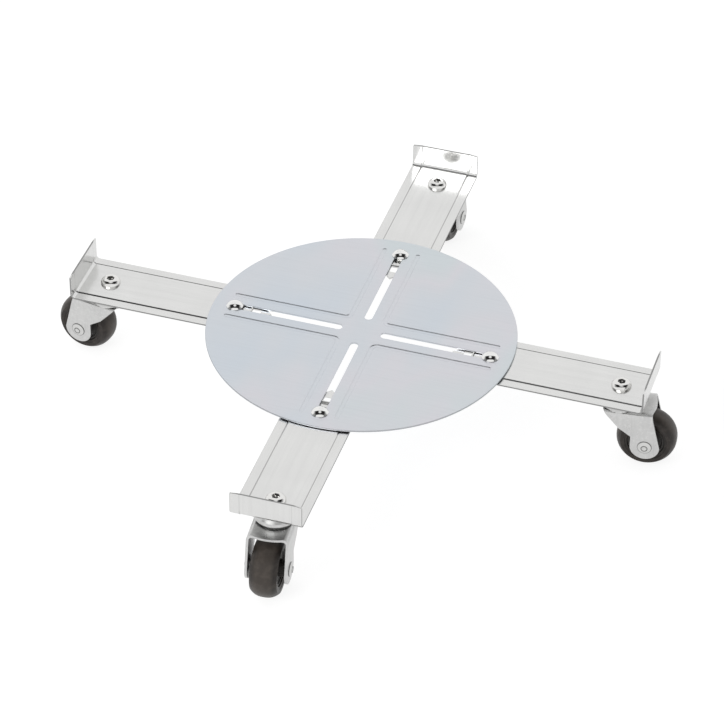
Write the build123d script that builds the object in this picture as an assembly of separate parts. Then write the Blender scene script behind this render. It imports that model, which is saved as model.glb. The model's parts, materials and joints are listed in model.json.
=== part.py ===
from build123d import *
import os

# Heights above the floor
CASTOR_HEIGHT = 77.0
SLIDING_CLEARANCE = 0.1
SIDE_CLEARANCE = 0.3
CUT_MARGIN = 1.0

# Round plate
PLATE_DIAMETER = 280.0
PLATE_SHEET = 1.5
PLATE_EDGE_ROUNDING = 0.4
SLOT_WIDTH = 7.4
SLOT_INNER_END = 18.0
BEAD_OFFSET = 16.0
BEAD_MOUTH = 4.4
BEAD_FLOOR = 2.0
BEAD_DEPTH = 0.6
BEAD_RIM_MARGIN = 14.5
BEAD_CORNER_RADIUS = 5.0
BOLT_RIM_MARGIN = 20.0

# Sliding arms
ARM_SHEET = 1.5
ARM_WIDTH = 64.0
BAND_WIDTH = 44.0
STEP_RUN = 1.4
STEP_DROP = 0.9
POINT_TO_BOLT = 35.0
BOLT_TO_CASTOR = 120.0
CASTOR_TO_LIP = 28.0
LIP_HEIGHT = 22.5
LIP_BEND_RADIUS = 3.0
LIP_CORNER_RADIUS = 2.0
TAB_SETBACK = 16.0
WINDOW_LENGTH = 8.0

# Carriage bolt, washer and nut that clamp an arm to the plate
BOLT_DIAMETER = 6.0
BOLT_HEAD_DIAMETER = 15.6
BOLT_HEAD_HEIGHT = 3.6
NECK_SIDE = 6.0
HOLE_CLEARANCE = 0.2
THREAD_CLEARANCE = 0.05
WASHER_DIAMETER = 18.0
WASHER_SHEET = 1.6
CLAMP_NUT_FLATS = 10.0
CLAMP_NUT_HEIGHT = 5.0
BOLT_TIP = 3.0

# Button-head screw and nut that hold a castor
SCREW_DIAMETER = 10.0
SCREW_HEAD_DIAMETER = 18.0
SCREW_HEAD_HEIGHT = 5.0
SCREW_SOCKET_FLATS = 6.0
SCREW_SOCKET_DEPTH = 3.2
FIXING_NUT_FLATS = 16.0
FIXING_NUT_HEIGHT = 8.0
SCREW_TIP = 2.0
NUT_CHAMFER = 0.8

# Castor swivel bearing
CUP_SHEET = 2.0
CUP_NECK_RADIUS = 12.0
CUP_SKIRT_RADIUS = 15.2
CUP_SKIRT_GAP = 0.9
CUP_NECK_DEPTH = 1.4
CUP_FLARE_DEPTH = 1.2
SLEEVE_RADIUS = 7.0
SLEEVE_FOOT_RADIUS = 9.0
SLEEVE_FOOT_HEIGHT = 1.5
LOWER_CUP_RADIUS = 14.0
LOWER_CUP_SHEET = 1.5
LOWER_CUP_RIM = 2.0
LOWER_CUP_CLEARANCE = 0.7
BALL_DIAMETER = 3.6
BALL_GAP = 0.2
BALL_PITCH_RADIUS = 10.5
BALLS_PER_RACE = 12

# Castor fork
FORK_SHEET = 2.5
FORK_GAP = 32.0
FORK_CORNER_RADIUS = 5.0
CROWN_RISE = 8.5
CROWN_HOLE_RADIUS = 8.2
CROWN_EDGE_RADIUS = 2.6
TRAIL = 26.0
FORK_FOOT_RADIUS = 13.2
FORK_LEAD_TOP = -13.5
FORK_KNEE_TRAIL = 1.5
FORK_KNEE_HEIGHT = 45.0
FORK_ANKLE_HEIGHT = 37.0
FORK_TAIL_TOP = 30.5
FORK_TAIL_BULGE = 2.5

# Wheel and axle
WHEEL_DIAMETER = 54.0
TYRE_WIDTH = 24.0
TYRE_SHOULDER = 2.8
TYRE_CROWN_DROP = 0.8
TYRE_EDGE_DROP = 5.0
TREAD_SHARE = 0.58
CORE_RADIUS = 16.5
CORE_WIDTH = 20.0
CORE_FIT = 0.05
HUB_RADIUS = 7.5
HUB_SIDE_GAP = 0.75
AXLE_DIAMETER = 8.0
AXLE_HEAD_DIAMETER = 13.0
AXLE_HEAD_HEIGHT = 2.4
AXLE_DIMPLE_DIAMETER = 5.0
AXLE_DIMPLE_DEPTH = 0.9
RUNNING_CLEARANCE = 0.08

# Arm name, direction of the arm and direction in which its castor trails, in degrees
ARMS = {
    "right": (0.0, 6.0),
    "back": (90.0, 88.0),
    "left": (180.0, 170.0),
    "front": (270.0, -85.0),
}

# Places along an arm from the plate's centre, with the arm fully out
BOLT_REACH = PLATE_DIAMETER / 2 - BOLT_RIM_MARGIN
BEAD_OUTER_END = PLATE_DIAMETER / 2 - BEAD_RIM_MARGIN
ARM_POINT = BOLT_REACH - POINT_TO_BOLT
CASTOR_REACH = BOLT_REACH + BOLT_TO_CASTOR
LIP_REACH = CASTOR_REACH + CASTOR_TO_LIP

# Levels that follow from the sizes above
BAND_UNDERSIDE = CASTOR_HEIGHT
BAND_TOP = BAND_UNDERSIDE + ARM_SHEET
PLATE_UNDERSIDE = BAND_TOP + SLIDING_CLEARANCE + BEAD_DEPTH
PLATE_TOP = PLATE_UNDERSIDE + PLATE_SHEET
BOLT_SEAT = PLATE_TOP + SLIDING_CLEARANCE
RACE_HEIGHT = BALL_DIAMETER + 2 * BALL_GAP
CROWN_TOP = CASTOR_HEIGHT - CUP_SHEET - RACE_HEIGHT
CROWN_UNDERSIDE = CROWN_TOP - FORK_SHEET
SHOULDER_TOP = CROWN_TOP - CROWN_RISE
LOWER_CUP_TOP = CROWN_UNDERSIDE - RACE_HEIGHT
LOWER_CUP_UNDERSIDE = LOWER_CUP_TOP - LOWER_CUP_SHEET
SLEEVE_END = LOWER_CUP_UNDERSIDE - SLEEVE_FOOT_HEIGHT
AXLE_HEIGHT = WHEEL_DIAMETER / 2
FORK_WIDTH = FORK_GAP + 2 * FORK_SHEET
CROWN_HOLLOW_RADIUS = LOWER_CUP_RADIUS + LOWER_CUP_CLEARANCE
CROWN_RADIUS = CROWN_HOLLOW_RADIUS + FORK_SHEET


def ring(outer, inner, low, high):
    """A round tube about the Z axis between two heights."""
    tube = Cylinder(outer, high - low) - Cylinder(inner, high - low)
    return Pos(0, 0, (low + high) / 2) * tube


def rod(radius, low, high):
    """A round bar about the Z axis between two heights."""
    return Pos(0, 0, (low + high) / 2) * Cylinder(radius, high - low)


def turned(points):
    """A solid turned about the Z axis from (radius, height) points."""
    face = make_face(Polyline(*[(r, 0, z) for r, z in points], close=True))
    return revolve(face, Axis.Z)


def dome(radius, height, seat):
    """A low domed head that stands on a seat height."""
    ball_radius = (radius**2 + height**2) / (2 * height)
    ball = Pos(0, 0, seat + height - ball_radius) * Sphere(ball_radius)
    return ball & rod(radius, seat, seat + height)


def hexagon_nut(flats, height, bore_radius, top):
    """A hexagon nut under a top height, with its bottom corners turned off."""
    middle = Pos(0, 0, top - height / 2)
    prism = extrude(RegularPolygon(flats / 2, 6, major_radius=False), height / 2, both=True)
    corner_radius = flats / 3**0.5
    turned_blank = Cylinder(corner_radius, height)
    turned_blank = chamfer(turned_blank.edges().group_by(Axis.Z)[0], NUT_CHAMFER)
    return middle * ((prism & turned_blank) - Cylinder(bore_radius, height))


def bead(mouth, floor, depth, level):
    """A tapered L-shaped ridge below a level, with one leg beside each of two neighbouring slots."""
    corner = BEAD_OFFSET + BEAD_CORNER_RADIUS
    diagonal = corner - BEAD_CORNER_RADIUS / 2**0.5
    first_leg = Line((BEAD_OUTER_END - mouth / 2, BEAD_OFFSET), (corner, BEAD_OFFSET))
    bend = ThreePointArc((corner, BEAD_OFFSET), (diagonal, diagonal), (BEAD_OFFSET, corner))
    second_leg = Line((BEAD_OFFSET, corner), (BEAD_OFFSET, BEAD_OUTER_END - mouth / 2))
    path = Wire([first_leg.edge(), bend.edge(), second_leg.edge()])
    start = Plane(origin=path @ 0, z_dir=path % 0, x_dir=(0, 1, 0))
    half_mouth = mouth / 2
    half_floor = floor / 2
    across = Polyline(
        (-half_mouth, 0), (-half_floor, depth), (half_floor, depth), (half_mouth, 0), close=True
    )
    ridge = sweep(start * make_face(across), path)
    end_cone = Pos(0, 0, -depth / 2) * Cone(half_floor, half_mouth, depth)
    for end in (path @ 0, path @ 1):
        ridge += Pos(end.X, end.Y, 0) * end_cone
    return Pos(0, 0, level) * ridge


def round_plate():
    disc = rod(PLATE_DIAMETER / 2, PLATE_UNDERSIDE, PLATE_TOP)
    disc = fillet(disc.edges(), PLATE_EDGE_ROUNDING)
    outer_end = BOLT_REACH + NECK_SIDE / 2 + SIDE_CLEARANCE
    half_slot = SLOT_WIDTH / 2
    half_neck = NECK_SIDE / 2
    outer_centre = outer_end - (half_slot**2 - half_neck**2) ** 0.5
    inner_centre = SLOT_INNER_END + half_slot
    straight = Box(outer_centre - inner_centre, SLOT_WIDTH, 4 * PLATE_SHEET)
    slot = Pos((outer_centre + inner_centre) / 2, 0, PLATE_TOP) * straight
    for centre in (inner_centre, outer_centre):
        slot += Pos(centre, 0, PLATE_TOP) * Cylinder(half_slot, 4 * PLATE_SHEET)
    wall = PLATE_SHEET / 4
    ridge = bead(BEAD_MOUTH + 2 * wall, BEAD_FLOOR + 2 * wall, BEAD_DEPTH, PLATE_UNDERSIDE)
    groove = bead(BEAD_MOUTH, BEAD_FLOOR, BEAD_DEPTH, PLATE_TOP)
    for angle, _ in ARMS.values():
        turn = Rot(0, 0, angle)
        disc = disc + turn * ridge
        disc = disc - turn * groove - turn * slot
    return disc


def arm_strip():
    """The pressed strip of one arm along +X, with its upturned lip, point, window and tab."""
    half = ARM_WIDTH / 2
    band = BAND_WIDTH / 2
    flange_top = BAND_TOP - STEP_DROP
    top = [
        (-half, flange_top),
        (-band - STEP_RUN, flange_top),
        (-band, BAND_TOP),
        (band, BAND_TOP),
        (band + STEP_RUN, flange_top),
        (half, flange_top),
    ]
    underside = [(y, z - ARM_SHEET) for y, z in reversed(top)]
    start = Plane(origin=(ARM_POINT, 0, 0), x_dir=(0, 1, 0), z_dir=(1, 0, 0))
    section = start * make_face(Polyline(*top, *underside, close=True))
    middle = BAND_TOP - ARM_SHEET / 2
    bend = LIP_BEND_RADIUS + ARM_SHEET / 2
    bend_start = LIP_REACH - STEP_DROP - ARM_SHEET / 2 - bend
    half_turn = bend / 2**0.5
    flat_run = Line((ARM_POINT, 0, middle), (bend_start, 0, middle))
    bend_end = (bend_start + bend, 0, middle + bend)
    bend_middle = (bend_start + half_turn, 0, middle + bend - half_turn)
    bend_arc = ThreePointArc((bend_start, 0, middle), bend_middle, bend_end)
    rise = Line(bend_end, (bend_end[0], 0, BAND_TOP + LIP_HEIGHT))
    strip = sweep(section, Wire([flat_run.edge(), bend_arc.edge(), rise.edge()]))
    lip_corners = strip.edges().filter_by(Axis.X).group_by(Axis.Z)[-1]
    strip = fillet(lip_corners, LIP_CORNER_RADIUS)
    margin = half + CUT_MARGIN
    beside_point = Polyline(
        (ARM_POINT - CUT_MARGIN, -margin),
        (ARM_POINT + margin, -margin),
        (ARM_POINT, 0),
        (ARM_POINT + margin, margin),
        (ARM_POINT - CUT_MARGIN, margin),
        close=True,
    )
    strip -= extrude(make_face(beside_point), BAND_TOP + CUT_MARGIN)
    tab_width = SLOT_WIDTH - 2 * SIDE_CLEARANCE
    tab_face = BOLT_REACH - TAB_SETBACK - ARM_SHEET / 2
    window = Box(WINDOW_LENGTH, tab_width, 4 * ARM_SHEET)
    strip -= Pos(tab_face - WINDOW_LENGTH / 2, 0, BAND_TOP) * window
    tab_top = PLATE_TOP - SIDE_CLEARANCE
    tab_height = tab_top - BAND_UNDERSIDE
    tab = Box(ARM_SHEET, tab_width, tab_height)
    strip += Pos(tab_face + ARM_SHEET / 2, 0, tab_top - tab_height / 2) * tab
    for reach, diameter in ((BOLT_REACH, BOLT_DIAMETER), (CASTOR_REACH, SCREW_DIAMETER)):
        strip -= Pos(reach, 0, 0) * rod(diameter / 2 + HOLE_CLEARANCE, 0, BAND_TOP + CUT_MARGIN)
    return strip


def carriage_bolt():
    nut_end = BAND_UNDERSIDE - WASHER_SHEET - CLAMP_NUT_HEIGHT
    neck_end = BAND_TOP + SLIDING_CLEARANCE
    neck = Pos(0, 0, (BOLT_SEAT + neck_end) / 2) * Box(NECK_SIDE, NECK_SIDE, BOLT_SEAT - neck_end)
    shank = rod(BOLT_DIAMETER / 2, nut_end - BOLT_TIP, BOLT_SEAT)
    return dome(BOLT_HEAD_DIAMETER / 2, BOLT_HEAD_HEIGHT, BOLT_SEAT) + neck + shank


def clamp_washer():
    bore = BOLT_DIAMETER / 2 + HOLE_CLEARANCE
    return ring(WASHER_DIAMETER / 2, bore, BAND_UNDERSIDE - WASHER_SHEET, BAND_UNDERSIDE)


def clamp_nut():
    bore = BOLT_DIAMETER / 2 + THREAD_CLEARANCE
    return hexagon_nut(CLAMP_NUT_FLATS, CLAMP_NUT_HEIGHT, bore, BAND_UNDERSIDE - WASHER_SHEET)


def fixing_screw():
    screw = dome(SCREW_HEAD_DIAMETER / 2, SCREW_HEAD_HEIGHT, BAND_TOP)
    screw += rod(SCREW_DIAMETER / 2, SLEEVE_END - FIXING_NUT_HEIGHT - SCREW_TIP, BAND_TOP)
    socket = RegularPolygon(SCREW_SOCKET_FLATS / 2, 6, major_radius=False)
    top = BAND_TOP + SCREW_HEAD_HEIGHT
    return screw - Pos(0, 0, top) * extrude(socket, SCREW_SOCKET_DEPTH, both=True)


def fixing_nut():
    bore = SCREW_DIAMETER / 2 + THREAD_CLEARANCE
    return hexagon_nut(FIXING_NUT_FLATS, FIXING_NUT_HEIGHT, bore, SLEEVE_END)


def top_cup():
    """The fixed upper race: a flat neck under the arm that flares into a skirt round the balls."""
    bore = SLEEVE_RADIUS + HOLE_CLEARANCE
    race = CASTOR_HEIGHT - CUP_SHEET
    neck_end = CASTOR_HEIGHT - CUP_NECK_DEPTH
    flare_end = neck_end - CUP_FLARE_DEPTH
    skirt_end = CROWN_TOP + CUP_SKIRT_GAP
    skirt_inside = CUP_SKIRT_RADIUS - CUP_SHEET / 2
    points = [
        (bore, CASTOR_HEIGHT),
        (CUP_NECK_RADIUS, CASTOR_HEIGHT),
        (CUP_NECK_RADIUS, neck_end),
        (CUP_SKIRT_RADIUS, flare_end),
        (CUP_SKIRT_RADIUS, skirt_end),
        (skirt_inside, skirt_end),
        (skirt_inside, flare_end - CUP_SHEET / 2),
        (CUP_NECK_RADIUS, race),
        (bore, race),
    ]
    return turned(points)


def king_sleeve():
    """The hollow rivet through the swivel bearing, with the lower race on its foot."""
    bore = SCREW_DIAMETER / 2 + HOLE_CLEARANCE
    rim_inside = LOWER_CUP_RADIUS - LOWER_CUP_SHEET
    points = [
        (bore, CASTOR_HEIGHT),
        (SLEEVE_RADIUS, CASTOR_HEIGHT),
        (SLEEVE_RADIUS, LOWER_CUP_TOP),
        (rim_inside, LOWER_CUP_TOP),
        (rim_inside, LOWER_CUP_TOP + LOWER_CUP_RIM),
        (LOWER_CUP_RADIUS, LOWER_CUP_TOP + LOWER_CUP_RIM),
        (LOWER_CUP_RADIUS, LOWER_CUP_UNDERSIDE),
        (SLEEVE_FOOT_RADIUS, LOWER_CUP_UNDERSIDE),
        (SLEEVE_FOOT_RADIUS, SLEEVE_END),
        (bore, SLEEVE_END),
    ]
    return turned(points)


def race_balls():
    balls = []
    for floor in (CROWN_TOP, LOWER_CUP_TOP):
        for place in PolarLocations(BALL_PITCH_RADIUS, BALLS_PER_RACE):
            balls.append(Pos(0, 0, floor + RACE_HEIGHT / 2) * place * Sphere(BALL_DIAMETER / 2))
    return Compound(balls)


def fork():
    """The pressed fork with its swivel axis on Z and its axle behind it along +X."""
    knee = (FORK_KNEE_TRAIL, FORK_KNEE_HEIGHT)
    front_of_foot = (TRAIL - FORK_FOOT_RADIUS, AXLE_HEIGHT)
    under_foot = (TRAIL, AXLE_HEIGHT - FORK_FOOT_RADIUS)
    back_of_foot = (TRAIL + FORK_FOOT_RADIUS, AXLE_HEIGHT)
    side_view = (
        Line((FORK_LEAD_TOP, SHOULDER_TOP), knee).edge(),
        Line(knee, (front_of_foot[0], FORK_ANKLE_HEIGHT)).edge(),
        Line((front_of_foot[0], FORK_ANKLE_HEIGHT), front_of_foot).edge(),
        ThreePointArc(front_of_foot, under_foot, back_of_foot).edge(),
        Line(back_of_foot, (FORK_TAIL_TOP, SHOULDER_TOP)).edge(),
        Line((FORK_TAIL_TOP, SHOULDER_TOP), (FORK_LEAD_TOP, SHOULDER_TOP)).edge(),
    )
    outline = extrude(Plane.XZ * make_face(side_view), FORK_WIDTH, both=True)
    length = 4 * TRAIL
    outer = Box(length, FORK_WIDTH, 2 * SHOULDER_TOP)
    outer = fillet(outer.edges().filter_by(Axis.X).group_by(Axis.Z)[-1], FORK_CORNER_RADIUS)
    inside = Box(length, FORK_GAP, 2 * (SHOULDER_TOP - FORK_SHEET))
    inside_radius = FORK_CORNER_RADIUS - FORK_SHEET
    inside = fillet(inside.edges().filter_by(Axis.X).group_by(Axis.Z)[-1], inside_radius)
    crown = rod(CROWN_RADIUS, SHOULDER_TOP - FORK_SHEET, CROWN_TOP)
    crown = fillet(crown.edges().group_by(Axis.Z)[-1], CROWN_EDGE_RADIUS)
    half_flat = FORK_WIDTH / 2 - FORK_CORNER_RADIUS
    bulge_radius = (half_flat**2 + FORK_TAIL_BULGE**2) / (2 * FORK_TAIL_BULGE)
    bulge_centre = FORK_TAIL_TOP + FORK_TAIL_BULGE - bulge_radius
    bulge = Pos(bulge_centre, 0, 0) * rod(bulge_radius, SHOULDER_TOP - FORK_SHEET, SHOULDER_TOP)
    bulge &= Pos(FORK_TAIL_TOP, 0, 0) * Box(4 * FORK_TAIL_BULGE, 2 * half_flat, 4 * SHOULDER_TOP)
    pressed = (outline & (outer - inside)) + crown + bulge
    pressed -= rod(CROWN_HOLLOW_RADIUS, SHOULDER_TOP - 2 * FORK_SHEET, CROWN_UNDERSIDE)
    pressed -= rod(CROWN_HOLE_RADIUS, 0, CROWN_TOP + CUT_MARGIN)
    axle_hole = Rot(90, 0, 0) * Cylinder(AXLE_DIAMETER / 2 + THREAD_CLEARANCE, 2 * FORK_WIDTH)
    return pressed - Pos(TRAIL, 0, AXLE_HEIGHT) * axle_hole


def on_axle(solid):
    """Turns a solid made about the Z axis onto the wheel's axle."""
    return Pos(TRAIL, 0, AXLE_HEIGHT) * Rot(90, 0, 0) * solid


def axle():
    half = FORK_WIDTH / 2
    pin = rod(AXLE_DIAMETER / 2, -half, half)
    head = dome(AXLE_HEAD_DIAMETER / 2, AXLE_HEAD_HEIGHT, half)
    dimple_top = half + AXLE_HEAD_HEIGHT
    head -= rod(AXLE_DIMPLE_DIAMETER / 2, dimple_top - AXLE_DIMPLE_DEPTH, dimple_top)
    return on_axle(pin + head + Rot(180, 0, 0) * head)


def wheel_hub():
    bore = AXLE_DIAMETER / 2 + RUNNING_CLEARANCE
    half_hub = FORK_GAP / 2 - HUB_SIDE_GAP
    core = ring(CORE_RADIUS - CORE_FIT, bore, -CORE_WIDTH / 2, CORE_WIDTH / 2)
    return on_axle(core + ring(HUB_RADIUS, bore, -half_hub, half_hub))


def tyre():
    """A rubber tyre with a crowned tread and rounded shoulders."""
    radius = WHEEL_DIAMETER / 2
    half = TYRE_WIDTH / 2
    tread = half * TREAD_SHARE
    edge_radius = radius - TYRE_EDGE_DROP
    shoulder_radius = radius - TYRE_CROWN_DROP
    round_radius = shoulder_radius - TYRE_EDGE_DROP / 4
    round_place = half - TYRE_SHOULDER / 2
    outline = [
        ThreePointArc((shoulder_radius, 0, -tread), (radius, 0, 0), (shoulder_radius, 0, tread)).edge(),
        Line((CORE_RADIUS, 0, half), (CORE_RADIUS, 0, -half)).edge(),
    ]
    for side in (-1, 1):
        edge = (edge_radius, 0, side * half)
        shoulder = (shoulder_radius, 0, side * tread)
        outline.append(Line((CORE_RADIUS, 0, side * half), edge).edge())
        outline.append(ThreePointArc(edge, (round_radius, 0, side * round_place), shoulder).edge())
    return on_axle(revolve(make_face(outline), Axis.Z))


os.makedirs("parts", exist_ok=True)
export_step(round_plate(), "parts/round_plate.step")

at_plate = {"arm": arm_strip()}
at_bolt = {"carriage_bolt": carriage_bolt(), "clamp_washer": clamp_washer(), "clamp_nut": clamp_nut()}
at_castor = {
    "fixing_screw": fixing_screw(),
    "fixing_nut": fixing_nut(),
    "top_cup": top_cup(),
    "king_sleeve": king_sleeve(),
    "race_balls": race_balls(),
}
on_swivel = {"fork": fork(), "axle": axle(), "wheel_hub": wheel_hub(), "tyre": tyre()}

for arm_name, (arm_angle, trail_angle) in ARMS.items():
    arm_turn = Rot(0, 0, arm_angle)
    castor_place = arm_turn * Pos(CASTOR_REACH, 0, 0)
    groups = (
        (at_plate, arm_turn),
        (at_bolt, arm_turn * Pos(BOLT_REACH, 0, 0)),
        (at_castor, castor_place),
        (on_swivel, castor_place * Rot(0, 0, trail_angle - arm_angle)),
    )
    for pieces, place in groups:
        for piece_name, piece in pieces.items():
            export_step(place * piece, f"parts/{arm_name}_{piece_name}.step")
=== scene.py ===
import bmesh
import bpy
import json
import math
from mathutils import Matrix, Vector
from mathutils.geometry import delaunay_2d_cdt


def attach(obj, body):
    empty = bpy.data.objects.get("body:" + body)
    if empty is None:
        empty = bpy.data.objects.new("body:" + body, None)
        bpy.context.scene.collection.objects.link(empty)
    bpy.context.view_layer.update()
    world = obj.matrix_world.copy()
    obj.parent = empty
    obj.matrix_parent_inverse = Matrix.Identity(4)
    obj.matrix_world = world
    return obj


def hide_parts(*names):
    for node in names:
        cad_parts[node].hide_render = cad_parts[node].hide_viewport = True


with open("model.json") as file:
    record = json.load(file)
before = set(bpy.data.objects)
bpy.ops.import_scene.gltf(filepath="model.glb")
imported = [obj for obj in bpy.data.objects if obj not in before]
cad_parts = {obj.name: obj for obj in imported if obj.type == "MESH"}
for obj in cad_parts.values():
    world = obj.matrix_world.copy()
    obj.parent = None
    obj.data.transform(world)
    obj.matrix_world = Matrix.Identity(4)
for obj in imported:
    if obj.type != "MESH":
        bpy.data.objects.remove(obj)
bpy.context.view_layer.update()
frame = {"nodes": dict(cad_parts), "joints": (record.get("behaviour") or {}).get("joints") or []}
scene = bpy.context.scene
scene.view_settings.view_transform = "Standard"

MM = 0.001
FULL_TURN = 2 * math.pi
ARC_STEPS = 12
UP = Vector((0, 0, 1))
joints = {joint["name"]: joint for joint in frame["joints"]}


def node_span(node):
    """The lowest and the highest corner of a CAD node."""
    piece = frame["nodes"][node]
    corners = [piece.matrix_world @ Vector(corner) / MM for corner in piece.bound_box]
    return [Vector([pick(corner[axis] for corner in corners) for axis in range(3)]) for pick in (min, max)]


# Sizes in millimetres, taken from the frame where its nodes and joints show them
plate_corner = node_span("round_plate")[1]
PLATE_RADIUS = plate_corner.x
PLATE_TOP = plate_corner.z
PLATE_SHEET = 1.5
PLATE_UNDERSIDE = PLATE_TOP - PLATE_SHEET
RIM_ROUNDING = 0.4
SLOT_HALF_WIDTH = 3.7
SLOT_INNER_CENTRE = 21.7
SLOT_OUTER_CENTRE = 121.13
BEAD_OFFSET = 16.0
BEAD_CORNER_RADIUS = 5.0
BEAD_END = 123.0

arm_inner_corner, arm_outer_corner = node_span("right_arm")
ARM_POINT = arm_inner_corner.x
ARM_HALF_WIDTH = arm_outer_corner.y
BAND_HALF_WIDTH = 22.0
STEP_RUN = 1.2
STEP_DROP = 0.5
GROOVE_RUN = 0.45
GROOVE_DROP = 0.3
ARM_SHEET = 1.5
BAND_UNDERSIDE = node_span("right_top_cup")[1].z
BAND_TOP = BAND_UNDERSIDE + ARM_SHEET
LIP_REACH = arm_outer_corner.x
LIP_DEPTH = 2.4
LIP_INNER_FACE = LIP_REACH - LIP_DEPTH
LIP_TOP = arm_outer_corner.z
LIP_BEND = 3.75
LIP_CORNER_RADIUS = 2.0
BOLT_REACH = sum(corner.x for corner in node_span("right_carriage_bolt")) / 2
BOLT_HOLE_RADIUS = 3.2
TAB_TO_BOLT = 16.75
TAB_INNER_FACE = BOLT_REACH - TAB_TO_BOLT
TAB_HALF_WIDTH = 3.4
TAB_BELOW_PLATE_TOP = 0.3
TAB_TOP = PLATE_TOP - TAB_BELOW_PLATE_TOP
WINDOW_LENGTH = 8.0
WINDOW_START = TAB_INNER_FACE - WINDOW_LENGTH

WASHER_SHEET = 1.6
CLAMP_NUT_HALF_FLATS = 5.0
CLAMP_NUT_HEIGHT = 5.0

CASTOR_REACH = joints["right_castor_swivels"]["pos_m"][0] / MM
SCREW_HOLE_RADIUS = 5.2
SOCKET_HALF_FLATS = 3.0
SLEEVE_DROP = 15.5
FIXING_NUT_HALF_FLATS = 8.0
FIXING_NUT_HEIGHT = 8.0
FORK_HALF_WIDTH = 18.5
FORK_EDGE_ROUNDING = 0.6
AXLE_HEAD_RADIUS = 6.5
AXLE_DIMPLE_RADIUS = 2.7
WHEEL_RADIUS = joints["right_wheel_spins"]["pos_m"][2] / MM
CORE_RADIUS = 16.5
TYRE_HALF_WIDTH = 12.0
HUB_HALF_WIDTH = 15.25


def rounded_corners(corners, steps=4):
    """Points along a line through (x, y, radius) corners, each turned with its own radius."""
    points = []
    for index, (x, y, radius) in enumerate(corners):
        corner = Vector((x, y))
        if radius <= 0:
            points.append(corner)
            continue
        before = (Vector(corners[index - 1][:2]) - corner).normalized()
        after = (Vector(corners[(index + 1) % len(corners)][:2]) - corner).normalized()
        half_angle = before.angle(after) / 2
        centre = corner + (before + after).normalized() * (radius / math.sin(half_angle))
        start = corner + before * (radius / math.tan(half_angle)) - centre
        end = corner + after * (radius / math.tan(half_angle)) - centre
        sweep = start.angle(end)
        for step in range(steps + 1):
            share = step / steps
            turned = start * math.sin((1 - share) * sweep) + end * math.sin(share * sweep)
            points.append(centre + turned / math.sin(sweep))
    return points


def smooth_mesh(name, points, faces, sharp_angle=40):
    """A mesh in metres from points in millimetres, shaded smooth up to an angle."""
    mesh = bpy.data.meshes.new(name)
    mesh.from_pydata([tuple(Vector(p) * MM) for p in points], [], faces)
    return smoothed(mesh, sharp_angle)


def smoothed(mesh, sharp_angle):
    """A mesh with its faces turned outward, shaded smooth up to an angle."""
    work = bmesh.new()
    work.from_mesh(mesh)
    bmesh.ops.recalc_face_normals(work, faces=work.faces)
    work.to_mesh(mesh)
    work.free()
    mesh.shade_smooth()
    mesh.set_sharp_from_angle(angle=math.radians(sharp_angle))
    return mesh


def faces_between(rows):
    """Faces that join each closed row of points to the next row, given the points' numbers."""
    faces = []
    for low, high in zip(rows, rows[1:]):
        for k in range(len(low)):
            following = (k + 1) % len(low)
            corners = (low[k], low[following], high[following], high[k])
            faces.append(list(dict.fromkeys(corners)))
    return faces


def turned_mesh(name, rings, closed=False, steps=72, sharp_angle=40):
    """A piece turned about Z from (radius, height) rings, where a radius may change with the angle."""
    points, rows = [], []
    for radius, height in rings:
        if not callable(radius) and radius == 0:
            points.append((0, 0, height))
            rows.append([len(points) - 1] * steps)
            continue
        rows.append([])
        for step in range(steps):
            angle = FULL_TURN * step / steps
            reach = radius(angle) if callable(radius) else radius
            points.append((reach * math.cos(angle), reach * math.sin(angle), height))
            rows[-1].append(len(points) - 1)
    if closed:
        rows.append(rows[0])
    return smooth_mesh(name, points, faces_between(rows), sharp_angle)


def hexagon(half_flats):
    """The radius of a hexagon at an angle."""
    side = math.pi / 3
    return lambda angle: half_flats / math.cos((angle + side / 2) % side - side / 2)


def rounded_square(half_side):
    """The radius of a square bar with worn corners at an angle."""
    sharpness = 9

    def reach(angle):
        corner = abs(math.cos(angle)) ** sharpness + abs(math.sin(angle)) ** sharpness
        return half_side / corner ** (1 / sharpness)

    return reach


def thread_rings(radius, pitch, depth, top, bottom):
    """Rings down a screw thread, whose ridges climb round the bar."""
    rings = []
    per_ridge = 6
    count = round((top - bottom) / pitch * per_ridge)
    for index in range(count + 1):
        height = top + (bottom - top) * index / count
        fade = min(1.0, index / per_ridge, (count - index) / per_ridge)

        def reach(angle, height=height, fade=fade):
            phase = (height / pitch - angle / FULL_TURN) % 1
            return radius - depth * fade * (1 - abs(2 * phase - 1))

        rings.append((reach, height))
    return rings


def dome_rings(radius, rise, seat, inner=0.0, steps=10):
    """Rings over a low dome, from an inner radius out to its rim."""
    ball = (radius**2 + rise**2) / (2 * rise)
    rings = []
    for step in range(steps + 1):
        reach = inner + (radius - inner) * step / steps
        rings.append((reach, seat + rise - ball + math.sqrt(ball**2 - reach**2)))
    return rings


def nut_mesh(name, half_flats, top, bottom, bore):
    """A hexagon nut with turned-off corners and countersunk mouths."""
    flats = hexagon(half_flats)
    corner = half_flats / math.cos(math.pi / 6)
    face_share, slope, sink = 0.97, 0.55, 0.5
    cut = corner - half_flats * face_share
    outside = []
    for share in (0.0, 0.25, 0.5, 0.75, 1.0):
        limit = corner - cut * (1 - share)
        outside.append((limit, top - slope * cut * share))
    outside += [(limit, bottom + top - height) for limit, height in reversed(outside)]

    def held_in(limit):
        return lambda angle: min(limit, flats(angle))

    rings = [(held_in(limit), height) for limit, height in outside]
    rings += [(bore + sink, bottom), (bore, bottom + sink), (bore, top - sink), (bore + sink, top)]
    return turned_mesh(name, rings, closed=True, steps=96, sharp_angle=28)


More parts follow.
